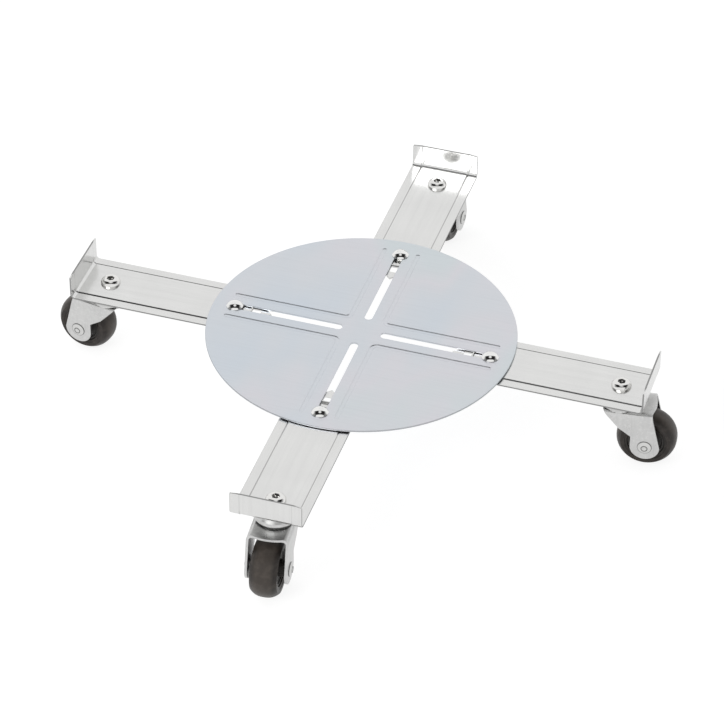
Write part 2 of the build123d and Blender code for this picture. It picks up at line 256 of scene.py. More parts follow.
def carriage_bolt_mesh():
    """A domed head on a square neck, and a thread below the arm."""
    seat = PLATE_TOP + 0.1
    rim, rise = 7.8, 3.7
    shank, reach_below_arm = 3.0, 9.6
    pitch, thread_depth = 1.0, 0.5
    rings = dome_rings(rim - 0.2, rise, seat + 0.5)
    rings += [(rim - 0.04, seat + 0.42), (rim, seat + 0.3), (rim, seat + 0.15), (rim - 0.15, seat)]
    rings += [(rounded_square(shank), seat), (rounded_square(shank), BAND_TOP + 0.3)]
    rings += [(shank, BAND_TOP + 0.1), (shank, BAND_UNDERSIDE)]
    end = BAND_UNDERSIDE - reach_below_arm
    rings += thread_rings(shank, pitch, thread_depth, BAND_UNDERSIDE - 0.4, end + 0.7)
    rings += [(shank - 0.1, end + 0.5), (shank - 0.7, end), (0, end)]
    return turned_mesh("carriage_bolt", rings, steps=96)


def fixing_screw_mesh():
    """A button-head screw: a flat land round the socket, a round shoulder and a thread."""
    rim, land = 9.0, 4.5
    shank, reach_below_arm = 5.0, 25.5
    pitch, thread_depth = 1.5, 0.75
    top = BAND_TOP + 5.0
    floor = BAND_TOP + 1.8
    socket, mouth = hexagon(SOCKET_HALF_FLATS), hexagon(SOCKET_HALF_FLATS + 0.25)
    rings = [(0, floor - 0.5), (2.2, floor), (socket, floor), (socket, top - 0.4), (mouth, top)]
    first, last = math.radians(6), math.radians(72)
    shoulder = (rim - land) / (math.sin(last) - math.sin(first))
    for step in range(ARC_STEPS + 1):
        tilt = first + (last - first) * step / ARC_STEPS
        reach = land + shoulder * (math.sin(tilt) - math.sin(first))
        rings.append((reach, top - 0.1 - shoulder * (math.cos(first) - math.cos(tilt))))
    rings += [(rim, BAND_TOP + 1.0), (rim, BAND_TOP + 0.12), (rim - 0.12, BAND_TOP), (shank, BAND_TOP)]
    end = BAND_UNDERSIDE - reach_below_arm
    rings += thread_rings(shank, pitch, thread_depth, BAND_UNDERSIDE, end + 1.0)
    rings += [(shank - 0.1, end + 0.8), (shank - 0.9, end), (0, end)]
    return turned_mesh("fixing_screw", rings, steps=96)


def hung_from_arm(name, profile):
    """A turned piece whose (radius, height, rounding) corners are measured from the arm's underside."""
    corners = [(radius, BAND_UNDERSIDE + height, turn) for radius, height, turn in profile]
    return turned_mesh(name, rounded_corners(corners), closed=True)


def washer_mesh():
    """The washer between the arm and the clamp nut."""
    bore, rim = 3.2, 9.0
    foot = -WASHER_SHEET
    profile = [(bore, foot, 0.2), (rim, foot, 0.5), (rim, 0.0, 0.3), (bore, 0.0, 0.2)]
    return hung_from_arm("clamp_washer", profile)


def top_cup_mesh():
    """The upper race, whose flared skirt reaches down over the fork's raised crown."""
    profile = [
        (7.2, 0.0, 0.3), (12.0, 0.0, 0.7), (12.0, -1.2, 0.6), (18.0, -3.0, 1.6),
        (18.4, -10.4, 1.2), (19.8, -12.2, 0.4), (19.4, -12.9, 0.4), (17.7, -10.9, 0.8),
        (17.7, -4.6, 0.8), (14.2, -3.6, 0.8), (12.0, -2.0, 0.5), (7.2, -2.0, 0.3),
    ]
    return hung_from_arm("top_cup", profile)


def king_sleeve_mesh():
    """The hollow rivet with the lower race on its rolled foot."""
    profile = [
        (5.2, 0.0, 0.2), (7.0, 0.0, 0.2), (7.0, -12.5, 0.6), (12.5, -12.5, 0.7), (12.5, -10.5, 0.5),
        (14.0, -10.5, 0.7), (14.0, -14.0, 1.2), (9.0, -14.0, 0.4),
        (9.0, -SLEEVE_DROP, 0.9), (5.2, -SLEEVE_DROP, 0.4),
    ]
    return hung_from_arm("king_sleeve", profile)


def axle_mesh():
    """The axle rivet with a domed and dimpled head at each end."""
    rim = AXLE_HEAD_RADIUS
    face = FORK_HALF_WIDTH
    end = [(0, face + 1.35), (1.4, face + 1.4), (2.1, face + 1.75), (2.55, face + 2.2), (2.8, face + 2.28)]
    end += dome_rings(rim - 0.15, 2.0, face + 0.35, inner=3.2, steps=7)
    end += [(rim, face + 0.3), (rim, face + 0.15), (rim - 0.15, face), (4.0, face)]
    mirrored = [(radius, -height) for radius, height in reversed(end)]
    return turned_mesh("axle", end + mirrored)


def wheel_hub_mesh():
    """The moulded core with its dished sides and its long hub."""
    bore, rim = 4.08, CORE_RADIUS - 0.05
    half = [
        (bore, HUB_HALF_WIDTH, 0.3), (7.5, HUB_HALF_WIDTH, 0.6), (7.8, 8.4, 0.9),
        (14.0, 8.4, 0.8), (14.5, 10.0, 0.4), (rim, 10.0, 0.3),
    ]
    profile = half + [(radius, -height, turn) for radius, height, turn in reversed(half)]
    return turned_mesh("wheel_hub", rounded_corners(profile), closed=True, steps=96)


def tyre_mesh():
    """The rubber tyre with a crowned tread, round shoulders and a raised bead at the core."""
    half = TYRE_HALF_WIDTH
    shoulder_drop, fullness = 4.6, 2.7
    steps = 32
    tread = []
    for step in range(steps + 1):
        share = math.sin(math.pi * (step / steps - 0.5))
        tread.append((WHEEL_RADIUS - shoulder_drop * abs(share) ** fullness, half * share, 0))
    side = [(19.0, half, 0.5), (18.5, half - 0.6, 0.5), (CORE_RADIUS, half - 0.9, 0.5)]
    other = [(radius, -across, turn) for radius, across, turn in reversed(side)]
    return turned_mesh("tyre", rounded_corners(tread + side + other), closed=True, steps=120)


def slot_line(margin):
    """A closed line round one slot, at a distance from its wall."""
    reach = SLOT_HALF_WIDTH + margin
    points = []
    for centre, start in ((SLOT_OUTER_CENTRE, -90), (SLOT_INNER_CENTRE, 90)):
        for step in range(ARC_STEPS + 1):
            angle = math.radians(start + 180 * step / ARC_STEPS)
            points.append(Vector((centre + reach * math.cos(angle), reach * math.sin(angle))))
    return points


def bead_line(reach):
    """A closed line round one L-shaped bead, at a distance from its middle."""
    corner = BEAD_OFFSET + BEAD_CORNER_RADIUS
    arcs = (
        (corner, corner, BEAD_CORNER_RADIUS + reach, -90, -180),
        (BEAD_OFFSET, BEAD_END, reach, 180, 0),
        (corner, corner, BEAD_CORNER_RADIUS - reach, -180, -90),
        (BEAD_END, BEAD_OFFSET, reach, 90, -90),
    )
    points = []
    for x, y, radius, start, end in arcs:
        for step in range(ARC_STEPS + 1):
            angle = math.radians(start + (end - start) * step / ARC_STEPS)
            points.append(Vector((x + radius * math.cos(angle), y + radius * math.sin(angle))))
    return points


def ring_line(radius, steps=48):
    """Points round a circle."""
    turns = [FULL_TURN * k / steps for k in range(steps)]
    return [Vector((radius * math.cos(turn), radius * math.sin(turn))) for turn in turns]


def lies_inside(point, outline):
    """Whether a point is inside a closed outline, by counting the sides to its right."""
    inside = False
    for (x, y), (last_x, last_y) in zip(outline, outline[-1:] + outline[:-1]):
        if (y > point.y) != (last_y > point.y):
            inside ^= point.x < x + (last_x - x) * (point.y - y) / (last_y - y)
    return inside


def round_plate_mesh():
    """The slotted plate with its rounded rim, punched slots and pressed beads."""
    points, faces = [], []

    def add_line(line, height):
        points.extend((p.x, p.y, height) for p in line)
        return list(range(len(points) - len(line), len(points)))

    def fill_between(border, *gaps):
        """Triangles over the flat inside a border, leaving out the gaps in it."""
        loops = (border, *gaps)
        indices = [i for loop in loops for i in loop]
        flat = [Vector(points[i][:2]) for i in indices]
        order = {index: k for k, index in enumerate(indices)}
        edges = [(order[loop[k - 1]], order[loop[k]]) for loop in loops for k in range(len(loop))]
        _, _, triangles, origins, _, _ = delaunay_2d_cdt(flat, edges, [], 1, 1e-6)
        outlines = [[points[i][:2] for i in gap] for gap in gaps]
        for triangle in triangles:
            corners = tuple(indices[origins[k][0]] for k in triangle)
            middle = sum((Vector(points[i][:2]) for i in corners), Vector((0, 0))) / 3
            if not any(lies_inside(middle, outline) for outline in outlines):
                faces.append(corners)

    edge = [(RIM_ROUNDING * (1 - math.sin(a)), RIM_ROUNDING * (1 - math.cos(a)))
            for a in (math.radians(15 * k) for k in range(7))]
    down = [(inset, PLATE_TOP - drop) for inset, drop in edge]
    up = [(inset, PLATE_UNDERSIDE + drop) for inset, drop in reversed(edge)]
    rim_steps = 256
    rim = [add_line(ring_line(PLATE_RADIUS - inset, rim_steps), height) for inset, height in down + up]
    faces.extend(faces_between(rim))
    top_borders, under_borders = [rim[0]], [rim[-1]]
    # Each bead is a groove above and a slightly wider ridge below: distance from its middle, then depth
    groove = ((2.5, 0.0), (2.3, 0.03), (2.05, 0.14), (1.8, 0.3), (1.55, 0.46), (1.3, 0.57), (1.0, 0.6))
    ridge_wider = 0.35
    ridge = [(reach + ridge_wider, depth) for reach, depth in groove]
    for quarter in range(4):
        turn = Matrix.Rotation(-quarter * math.pi / 2, 2)
        slot = [add_line([p @ turn for p in slot_line(inset)], height) for inset, height in down + up]
        faces.extend(faces_between(slot))
        top_borders.append(slot[0])
        under_borders.append(slot[-1])
        faces_of_bead = ((groove, PLATE_TOP, top_borders), (ridge, PLATE_UNDERSIDE, under_borders))
        for profile, level, borders in faces_of_bead:
            bead = [add_line([p @ turn for p in bead_line(reach)], level - depth) for reach, depth in profile]
            faces.extend(faces_between(bead))
            fill_between(bead[-1])
            borders.append(bead[0])
    fill_between(*top_borders)
    fill_between(*under_borders)
    return smooth_mesh("round_plate", points, faces, 50)


def arm_section():
    """Points across the arm from edge to edge, with their heights against its raised band."""
    fold = BAND_HALF_WIDTH + STEP_RUN
    corners = [
        (-ARM_HALF_WIDTH, -STEP_DROP, 0), (-fold - GROOVE_RUN, -STEP_DROP, 0.4),
        (-fold, -STEP_DROP - GROOVE_DROP, 0.2), (-BAND_HALF_WIDTH, 0, 0.5),
    ]
    corners += [(-across, height, turn) for across, height, turn in reversed(corners)]
    edges = rounded_corners(corners, steps=5)
    over_band = [Vector((across, 0)) for across in (-14.0, -7.0, 0.0, 7.0, 14.0)]
    middle = len(edges) // 2
    return edges[:middle] + over_band + edges[middle:]


def arm_strip_mesh():
    """The pressed arm along +X: mitred point, lowered edges, bend and upturned lip."""
    section = arm_section()
    flattened = 0.85
    middle = BAND_TOP - ARM_SHEET / 2
    bend_start = LIP_INNER_FACE + ARM_SHEET / 2 - LIP_BEND
    rounding = 0.35
    rows_along = (130.0, 180.0, 230.0, bend_start - 2.0)
    stations = [("point", 0.0), ("point", rounding * 0.3), ("point", rounding)]
    stations += [("flat", reach) for reach in rows_along]
    stations += [("bend", angle) for angle in range(0, 91, 10)]
    stations += [("lip", 0.3), ("lip", 0.6), ("lip", 0.9)]
    stations += [("lip_end", rounding), ("lip_end", rounding * 0.3), ("lip_end", 0.0)]

    def placed(kind, amount, across, step, offset):
        bent = {"point": 0.0, "flat": 0.0, "bend": amount / 90}.get(kind, 1.0)
        rise = step * (1 - flattened * bent) + offset
        if kind == "point":
            return (ARM_POINT + abs(across) + amount, across, middle + rise)
        if kind == "flat":
            return (amount, across, middle + rise)
        if kind == "bend":
            angle = math.radians(amount)
            reach = LIP_BEND - rise
            return (bend_start + reach * math.sin(angle), across, middle + LIP_BEND - reach * math.cos(angle))
        past = max(0.0, abs(across) - (ARM_HALF_WIDTH - LIP_CORNER_RADIUS))
        corner_drop = LIP_CORNER_RADIUS - math.sqrt(max(0.0, LIP_CORNER_RADIUS**2 - past**2))
        start = middle + LIP_BEND
        end = LIP_TOP - corner_drop
        height = start + (end - start) * amount if kind == "lip" else end - amount
        return (bend_start + LIP_BEND - rise, across, height)

    points, rows = [], []
    for kind, amount in stations:
        near_end = kind in ("point", "lip_end")
        slim = rounding - math.sqrt(max(0.0, rounding**2 - (rounding - amount) ** 2)) if near_end else 0.0
        half_sheet = ARM_SHEET / 2 - slim
        loop = []
        for sign, side in ((1, section), (-1, list(reversed(section)))):
            for index, point in enumerate(side):
                at_edge = index in (0, len(side) - 1)
                across = point.x * (1 - (slim + (rounding if at_edge else 0.0)) / ARM_HALF_WIDTH)
                loop.append((across, point.y, sign * half_sheet))
            edge = math.copysign(ARM_HALF_WIDTH - slim, side[-1].x)
            loop.append((edge, side[-1].y, sign * (half_sheet - rounding)))
            loop.append((edge, side[-1].y, -sign * (half_sheet - rounding)))
        rows.append(range(len(points), len(points) + len(loop)))
        points.extend(placed(kind, amount, *p) for p in loop)
    faces = faces_between(rows)
    for row in (rows[0], rows[-1]):
        count = len(section)
        tops = [row[-1], *row[:count], row[count]]
        unders = [row[-2], *reversed(row[count + 2:2 * count + 2]), row[count + 1]]
        for k in range(len(tops) - 1):
            faces.append((tops[k], tops[k + 1], unders[k + 1], unders[k]))
    return smooth_mesh("arm_strip", points, faces)


def prism_mesh(name, outline, low, high, lay=Matrix.Identity(3)):
    """A straight bar with a flat outline between two levels."""
    count = len(outline)
    points = [lay @ Vector((p.x, p.y, level)) for level in (low, high) for p in outline]
    faces = [tuple(range(count)), tuple(range(2 * count - 1, count - 1, -1))]
    faces += [(k, (k + 1) % count, count + (k + 1) % count, count + k) for k in range(count)]
    return smooth_mesh(name, points, faces, 30)


def carved(mesh, steps):
    """A mesh with other meshes cut out of it or joined to it."""
    blank = bpy.data.objects.new("blank", mesh)
    scene.collection.objects.link(blank)
    tools = []
    for operation, tool_mesh in steps:
        tool = bpy.data.objects.new("tool", tool_mesh)
        scene.collection.objects.link(tool)
        cut = blank.modifiers.new("cut", "BOOLEAN")
        cut.operation, cut.solver, cut.object = operation, "EXACT", tool
        tools.append(tool)
    graph = bpy.context.evaluated_depsgraph_get()
    made = bpy.data.meshes.new_from_object(blank.evaluated_get(graph))
    for spent in (blank, *tools):
        bpy.data.objects.remove(spent)
    return smoothed(made, 30)


def arm_mesh():
    """One arm with its lanced window, bent guide tab and two holes."""
    side, reach = TAB_HALF_WIDTH, TAB_INNER_FACE
    window_end = reach + 0.4
    window = rounded_corners([
        (WINDOW_START, -side, 1.2), (window_end, -side, 0.1),
        (window_end, side, 0.1), (WINDOW_START, side, 1.2),
    ])
    root, outer_face = reach + 6.0, reach + ARM_SHEET
    tab = rounded_corners([
        (reach, TAB_TOP, 0.5), (reach, BAND_UNDERSIDE, 2.4), (root, BAND_UNDERSIDE, 0),
        (root, BAND_TOP, 0), (outer_face, BAND_TOP, 0.5), (outer_face, TAB_TOP, 0.5),
    ], steps=6)
    upright = Matrix(((1, 0, 0), (0, 0, -1), (0, 1, 0)))
    overrun = 6.0
    below, above = BAND_UNDERSIDE - overrun, BAND_TOP + overrun
    steps = [("DIFFERENCE", prism_mesh("window", window, below, above))]
    steps.append(("UNION", prism_mesh("tab", tab, -side, side, upright)))
    for place, radius in ((BOLT_REACH, BOLT_HOLE_RADIUS), (CASTOR_REACH, SCREW_HOLE_RADIUS)):
        hole = [p + Vector((place, 0)) for p in ring_line(radius)]
        steps.append(("DIFFERENCE", prism_mesh("hole", hole, below, above)))
    return carved(arm_strip_mesh(), steps)


class Wire:
    """The value of one socket, for use in sums."""

    def __init__(self, board, socket):
        self.board, self.socket = board, socket

    def __add__(self, other):
        return self.board.sum("ADD", self, other)

    def __radd__(self, other):
        return self.board.sum("ADD", other, self)

    def __sub__(self, other):
        return self.board.sum("SUBTRACT", self, other)

    def __rsub__(self, other):
        return self.board.sum("SUBTRACT", other, self)

    def __mul__(self, other):
        return self.board.sum("MULTIPLY", self, other)

    def __pow__(self, other):
        return self.board.sum("POWER", self, other)

    def __abs__(self):
        return self.board.sum("ABSOLUTE", self, 0.0)


class Board:
    """The nodes of one finish, or of the surroundings."""

    def __init__(self, tree):
        self.tree = tree
        tree.nodes.clear()

    def node(self, kind, settings=None, sockets=None, output=0):
        made = self.tree.nodes.new("ShaderNode" + kind)
        for key, value in (settings or {}).items():
            if key == "stops":
                ramp = made.color_ramp.elements
                while len(ramp) < len(value):
                    ramp.new(0.5)
                for element, (place, tone) in zip(ramp, value):
                    element.position, element.color = place, tone
            else:
                setattr(made, key, value)
        for key, value in (sockets or {}).items():
            if isinstance(value, Wire):
                self.tree.links.new(value.socket, made.inputs[key])
            else:
                made.inputs[key].default_value = value
        return Wire(self, made.outputs[output]) if made.outputs else None

    def sum(self, operation, first, second):
        return self.node("Math", {"operation": operation}, {0: first, 1: second})

    def place(self):
        return self.node("TexCoord", output="Object")

    def axes(self, vector):
        return [self.node("SeparateXYZ", None, {0: vector}, axis) for axis in "XYZ"]

    def reach(self, vector):
        """The distance from the Z axis."""
        x, y, _ = self.axes(vector)
        return (x * x + y * y) ** 0.5

    def stretched(self, vector, factors):
        return self.node("VectorMath", {"operation": "MULTIPLY"}, {0: vector, 1: factors})

    def noise(self, vector, scale, detail):
        sockets = {"Vector": vector, "Scale": scale, "Detail": detail, "Roughness": 0.55}
        return self.node("TexNoise", None, sockets)

    def ease(self, value, low, high):
        """A value that eases from nought to one as another goes from low to high."""
        sockets = {"Value": value, "From Min": low, "From Max": high}
        return self.node("MapRange", {"interpolation_type": "SMOOTHSTEP"}, sockets)

    def mixed(self, share, first, second):
        """One colour that goes over into another by a share."""
        return self.node("Mix", {"data_type": "RGBA"}, {0: share, 6: first, 7: second}, 2)

    def ramp(self, value, *stops):
        return self.node("ValToRGB", {"stops": stops}, {0: value})

    def bump(self, height, strength, distance):
        return self.node("Bump", None, {"Height": height, "Strength": strength, "Distance": distance})

    def surface(self, sockets):
        shader = self.node("BsdfPrincipled", None, sockets)
        self.node("OutputMaterial", None, {"Surface": shader})


def new_board(name):
    material = bpy.data.materials.new(name)
    material.use_nodes = True
    return material, Board(material.node_tree)


def colour(red, green, blue):
    return (red, green, blue, 1.0)


def plate_zinc():
    """Blue-passivated zinc on rolled sheet: faint rainbow clouds, rolling grain, fine rubs."""
    material, board = new_board("plate_zinc")
    place = board.place()
    grain = board.noise(board.stretched(place, (14.0, 900.0, 60.0)), 1.0, 4.0)
    cloud = board.noise(board.stretched(place, (5.0, 16.0, 5.0)), 1.0, 3.0)
    film = board.noise(board.stretched(place, (11.0, 6.0, 5.0)), 1.0, 2.0)
    tint = board.ramp(
        film, (0.32, colour(0.590, 0.650, 0.715)), (0.46, colour(0.628, 0.662, 0.706)),
        (0.56, colour(0.670, 0.664, 0.706)), (0.68, colour(0.616, 0.672, 0.696)),
    )
    pale = board.mixed(cloud * 0.55, tint, colour(0.68, 0.692, 0.716))
    streaked = board.mixed(board.ease(grain, 0.35, 0.75) * 0.12, pale, colour(0.50, 0.525, 0.56))
    rim = board.ease(board.reach(place), (PLATE_RADIUS - 0.4) * MM, (PLATE_RADIUS - 0.1) * MM)
    base = board.mixed(rim * 0.4, streaked, colour(0.19, 0.195, 0.21))
    roughness = 0.27 + grain * 0.08 + cloud * 0.06
    board.surface({
        "Base Color": base, "Metallic": 1.0, "Roughness": roughness,
        "Normal": board.bump(grain, 0.04, 0.0002),
    })
    return material


def arm_zinc():
    """Bright galvanised strip: lengthwise streaks, faint crystals, painted shade lines in the folds, painted
    shade on the guide tab's sides.
    """
    material, board = new_board("arm_zinc")
    place = board.place()
    x, y, z = board.axes(place)
    streaks = board.noise(board.stretched(place, (7.0, 420.0, 7.0)), 1.0, 4.0)
    bands = board.noise(board.stretched(place, (26.0, 9.0, 26.0)), 1.0, 2.0)
    crystals = board.node("TexVoronoi", None, {"Vector": place, "Scale": 130.0}, "Color")
    crystal = board.node("SeparateColor", None, {0: crystals}, 0)
    pale = board.mixed(bands, colour(0.68, 0.68, 0.675), colour(0.77, 0.77, 0.76))
    streaked = board.mixed(board.ease(streaks, 0.35, 0.7) * 0.14, pale, colour(0.56, 0.56, 0.555))
    flecked = board.mixed(crystal * 0.06, streaked, colour(0.86, 0.86, 0.85))
    on_lip = board.ease(z, (BAND_TOP + 1) * MM, (BAND_TOP + 6) * MM)
    # Painted shade: dark lines along the folds, fainter up the lip, stand in for the shade and dark
    # reflections in the creases.
    fold_place = BAND_HALF_WIDTH + STEP_RUN
    fold = 1 - board.ease(abs(abs(y) - fold_place * MM), 0.1 * MM, 0.6 * MM)
    fold_shade_painted = board.mixed(fold * (0.45 - on_lip * 0.35), flecked, colour(0.09, 0.088, 0.085))
    side_cut = board.ease(abs(y), (ARM_HALF_WIDTH - 0.4) * MM, (ARM_HALF_WIDTH - 0.1) * MM)
    lip_cut = board.ease(z, (LIP_TOP - 0.4) * MM, (LIP_TOP - 0.1) * MM)
    cut = board.node("Math", {"operation": "MAXIMUM"}, {0: side_cut, 1: lip_cut})
    trimmed = board.mixed(cut * 0.75, fold_shade_painted, colour(0.17, 0.17, 0.17))
    # Painted shade: the guide tab's upright faces, below its top, are painted nearly black for the shade
    # under the plate.
    off_tab = board.ease(abs(x - (TAB_INNER_FACE + ARM_SHEET / 2) * MM), 1.0 * MM, 1.6 * MM)
    tab_side_shade_painted = board.ease(z, (BAND_TOP + 0.2) * MM, (BAND_TOP + 0.5) * MM) * (1 - off_tab)
    tab_top = board.ease(z, (TAB_TOP - 0.5) * MM, (TAB_TOP - 0.2) * MM)
    base = board.mixed(tab_side_shade_painted * (1 - tab_top) * 0.9, trimmed, colour(0.03, 0.03, 0.03))
    roughness = 0.17 + streaks * 0.06 + crystal * 0.02 + cut * 0.2
    board.surface({
        "Base Color": base, "Metallic": 1.0, "Roughness": roughness,
        "Normal": board.bump(streaks, 0.03, 0.0002),
    })
    return material


def bright_metal(name, tone, least_roughness, ring_share, socket_share=0.0):
    """Bright plated steel with fine rubs and faint turning rings, darkened nearly to black deep in a socket
    where it has one.
    """
    material, board = new_board(name)
    place = board.place()
    reach, height = board.reach(place), board.axes(place)[2]
    rubs = board.noise(board.stretched(place, (900.0, 160.0, 300.0)), 1.0, 3.0)
    stain = board.noise(place, 160.0, 3.0)
    rings = board.node("Math", {"operation": "SINE"}, {0: reach * 9000.0})
    dark = tuple(0.62 * part for part in tone)
    stained = board.mixed(board.ease(stain, 0.45, 0.75) * 0.35, colour(*tone), colour(*dark))
    # Darker towards the bottom of the socket, nearly black there.
    within = 1 - board.ease(reach, (SOCKET_HALF_FLATS - 0.1) * MM, (SOCKET_HALF_FLATS + 0.2) * MM)
    sunk = 1 - board.ease(height, (BAND_TOP + 3.4) * MM, (BAND_TOP + 4.2) * MM)
    base = board.mixed(within * sunk * socket_share, stained, colour(0.02, 0.02, 0.02))
    roughness = least_roughness + rubs * 0.08 + board.ease(stain, 0.5, 0.8) * 0.10
    board.surface({
        "Base Color": base, "Metallic": 1.0, "Roughness": roughness,
        "Normal": board.bump(rubs + rings * ring_share, 0.06, 0.0001),
    })
    return material


def castor_zinc():
    """Pressed and zinc-plated castor steel: cloudy and faintly spotted, with fine drawing lines."""
    material, board = new_board("castor_zinc")
    place = board.place()
    cloud = board.noise(place, 55.0, 4.0)
    spots = board.noise(place, 420.0, 3.0)
    lines = board.noise(board.stretched(place, (500.0, 500.0, 60.0)), 1.0, 3.0)
    pale = board.mixed(cloud, colour(0.52, 0.52, 0.52), colour(0.69, 0.69, 0.68))
    spotted = board.mixed(board.ease(spots, 0.50, 0.72) * 0.35, pale, colour(0.80, 0.80, 0.79))
    base = board.mixed(board.ease(lines, 0.45, 0.75) * 0.22, spotted, colour(0.44, 0.44, 0.44))
    roughness = 0.20 + lines * 0.12 + cloud * 0.08
    board.surface({
        "Base Color": base, "Metallic": 1.0, "Roughness": roughness,
        "Normal": board.bump(lines + spots, 0.08, 0.0002),
    })
    return material


def axle_steel():
    """Riveted steel: a painted shade line round the dimple and round the head's rim."""
    material, board = new_board("axle_steel")
    place = board.place()
    reach = board.reach(place)
    wear = board.noise(place, 300.0, 3.0)
    # Painted shade: dark lines round the dimple's edge and round the head's rim stand in for the shade there.
    dimple = 1 - board.ease(abs(reach - AXLE_DIMPLE_RADIUS * MM), 0.2 * MM, 0.6 * MM)
    rim = board.ease(reach, (AXLE_HEAD_RADIUS - 0.7) * MM, (AXLE_HEAD_RADIUS - 0.2) * MM)
    lines = board.node("Math", {"operation": "MAXIMUM"}, {0: dimple, 1: rim})
    pale = board.mixed(wear, colour(0.56, 0.56, 0.55), colour(0.74, 0.74, 0.73))
    base = board.mixed(lines * 0.88, pale, colour(0.07, 0.07, 0.07))
    board.surface({"Base Color": base, "Metallic": 1.0, "Roughness": 0.24 + wear * 0.14})
    return material


def hub_plastic():
    """Black moulded plastic with a fine grain."""
    material, board = new_board("hub_plastic")
    place = board.place()
    grain = board.noise(place, 2600.0, 3.0)
    dust = board.noise(place, 120.0, 4.0)
    dusty = board.ease(dust, 0.45, 0.8) * 0.5
    base = board.mixed(dusty, colour(0.024, 0.0205, 0.0180), colour(0.062, 0.053, 0.046))
    board.surface({
        "Base Color": base, "Roughness": 0.42 + grain * 0.15 + dust * 0.1,
        "Normal": board.bump(grain, 0.15, 0.0002),
    })
    return material


def tyre_rubber():
    """Dark brown-grey rubber: moulding rings on the walls, a rubbed and dusty tread, lightened further as a
    painted sheen.
    """
    material, board = new_board("tyre_rubber")
    place = board.place()
    reach = board.reach(place)
    grain = board.noise(place, 1500.0, 4.0)
    dust = board.noise(place, 140.0, 5.0)
    rings = board.node("Math", {"operation": "SINE"}, {0: reach * 5200.0})
    # The tread is lightened partly by rubbing and dust and partly as a painted highlight, the sheen of a soft
    # front light.
    tread = board.ease(reach, (WHEEL_RADIUS - 2.8) * MM, (WHEEL_RADIUS - 0.4) * MM)
    dusty = board.ease(dust, 0.4, 0.75) * 0.4 + tread * 0.5
    base = board.mixed(dusty, colour(0.018, 0.0138, 0.0112), colour(0.090, 0.075, 0.064))
    roughness = 0.31 + dust * 0.16 + tread * 0.02
    board.surface({
        "Base Color": base, "Roughness": roughness, "Specular IOR Level": 0.34,
        "Normal": board.bump(grain + rings * 0.12, 0.22, 0.0003),
    })
    return material


finishes = {
    "plate_zinc": plate_zinc(),
    "arm_zinc": arm_zinc(),
    "bright_bolt": bright_metal("bright_bolt", (0.84, 0.84, 0.83), 0.04, ring_share=0.06),
    "bright_screw": bright_metal(
        "bright_screw", (0.78, 0.775, 0.76), 0.06, ring_share=0.10, socket_share=0.9,
    ),
    "castor_zinc": castor_zinc(),
    "ball_steel": bright_metal("ball_steel", (0.66, 0.66, 0.66), 0.06, ring_share=0.0),
    "axle_steel": axle_steel(),
    "hub_plastic": hub_plastic(),
    "tyre_rubber": tyre_rubber(),
}


def give_finish(mesh, slot):
    """The finish of a slot, in place of any other."""
    mesh.materials.clear()
    mesh.materials.append(finishes[slot])


def shade_evenly(piece, keep_sharp):
    """Shading that follows the larger faces."""
    even = piece.modifiers.new("even_shading", "WEIGHTED_NORMAL")
    even.weight, even.keep_sharp = 100, keep_sharp


def add_piece(name, mesh, place, body, slot, node):
    """A piece that stands for a CAD node, in its place and on its body."""
    own = mesh.copy()
    own.name = name
    give_finish(own, slot)
    piece = bpy.data.objects.new(name, own)
    scene.collection.objects.link(piece)
    piece.matrix_world = place
    shade_evenly(piece, True)
    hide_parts(node)
    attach(piece, body)


def keep_node(node, slot):
    """A CAD node that stays, with its finish."""
    piece = frame["nodes"][node]
    give_finish(piece.data, slot)
    return piece


def soften_edges(piece, width):
    """Rounds the pressed edges of a CAD node."""
    weld = piece.modifiers.new("weld", "WELD")
    weld.merge_threshold = 0.000002
    bevel = piece.modifiers.new("pressed_edges", "BEVEL")
    bevel.width, bevel.segments = width, 2
    bevel.limit_method, bevel.angle_limit = "ANGLE", math.radians(40)
    bevel.harden_normals = False
    shade_evenly(piece, False)


add_piece("plate_round", round_plate_mesh(), Matrix.Identity(4), "plate", "plate_zinc", "round_plate")

clamp_nut_top = BAND_UNDERSIDE - WASHER_SHEET
clamp_nut_foot = clamp_nut_top - CLAMP_NUT_HEIGHT
clamp_nut_shape = nut_mesh("clamp_nut", CLAMP_NUT_HALF_FLATS, clamp_nut_top, clamp_nut_foot, 3.05)
fixing_nut_top = BAND_UNDERSIDE - SLEEVE_DROP
fixing_nut_foot = fixing_nut_top - FIXING_NUT_HEIGHT
fixing_nut_shape = nut_mesh("fixing_nut", FIXING_NUT_HALF_FLATS, fixing_nut_top, fixing_nut_foot, 5.05)
clamp_meshes = {
    "carriage_bolt": (carriage_bolt_mesh(), "bright_bolt"),
    "clamp_washer": (washer_mesh(), "bright_bolt"),
    "clamp_nut": (clamp_nut_shape, "bright_bolt"),
}
swivel_meshes = {
    "fixing_screw": (fixing_screw_mesh(), "bright_screw"),
    "fixing_nut": (fixing_nut_shape, "bright_screw"),
    "top_cup": (top_cup_mesh(), "castor_zinc"),
    "king_sleeve": (king_sleeve_mesh(), "castor_zinc"),
}
wheel_meshes = {"wheel_hub": (wheel_hub_mesh(), "hub_plastic"), "tyre": (tyre_mesh(), "tyre_rubber")}
arm_shape = arm_mesh()
axle_shape = axle_mesh()

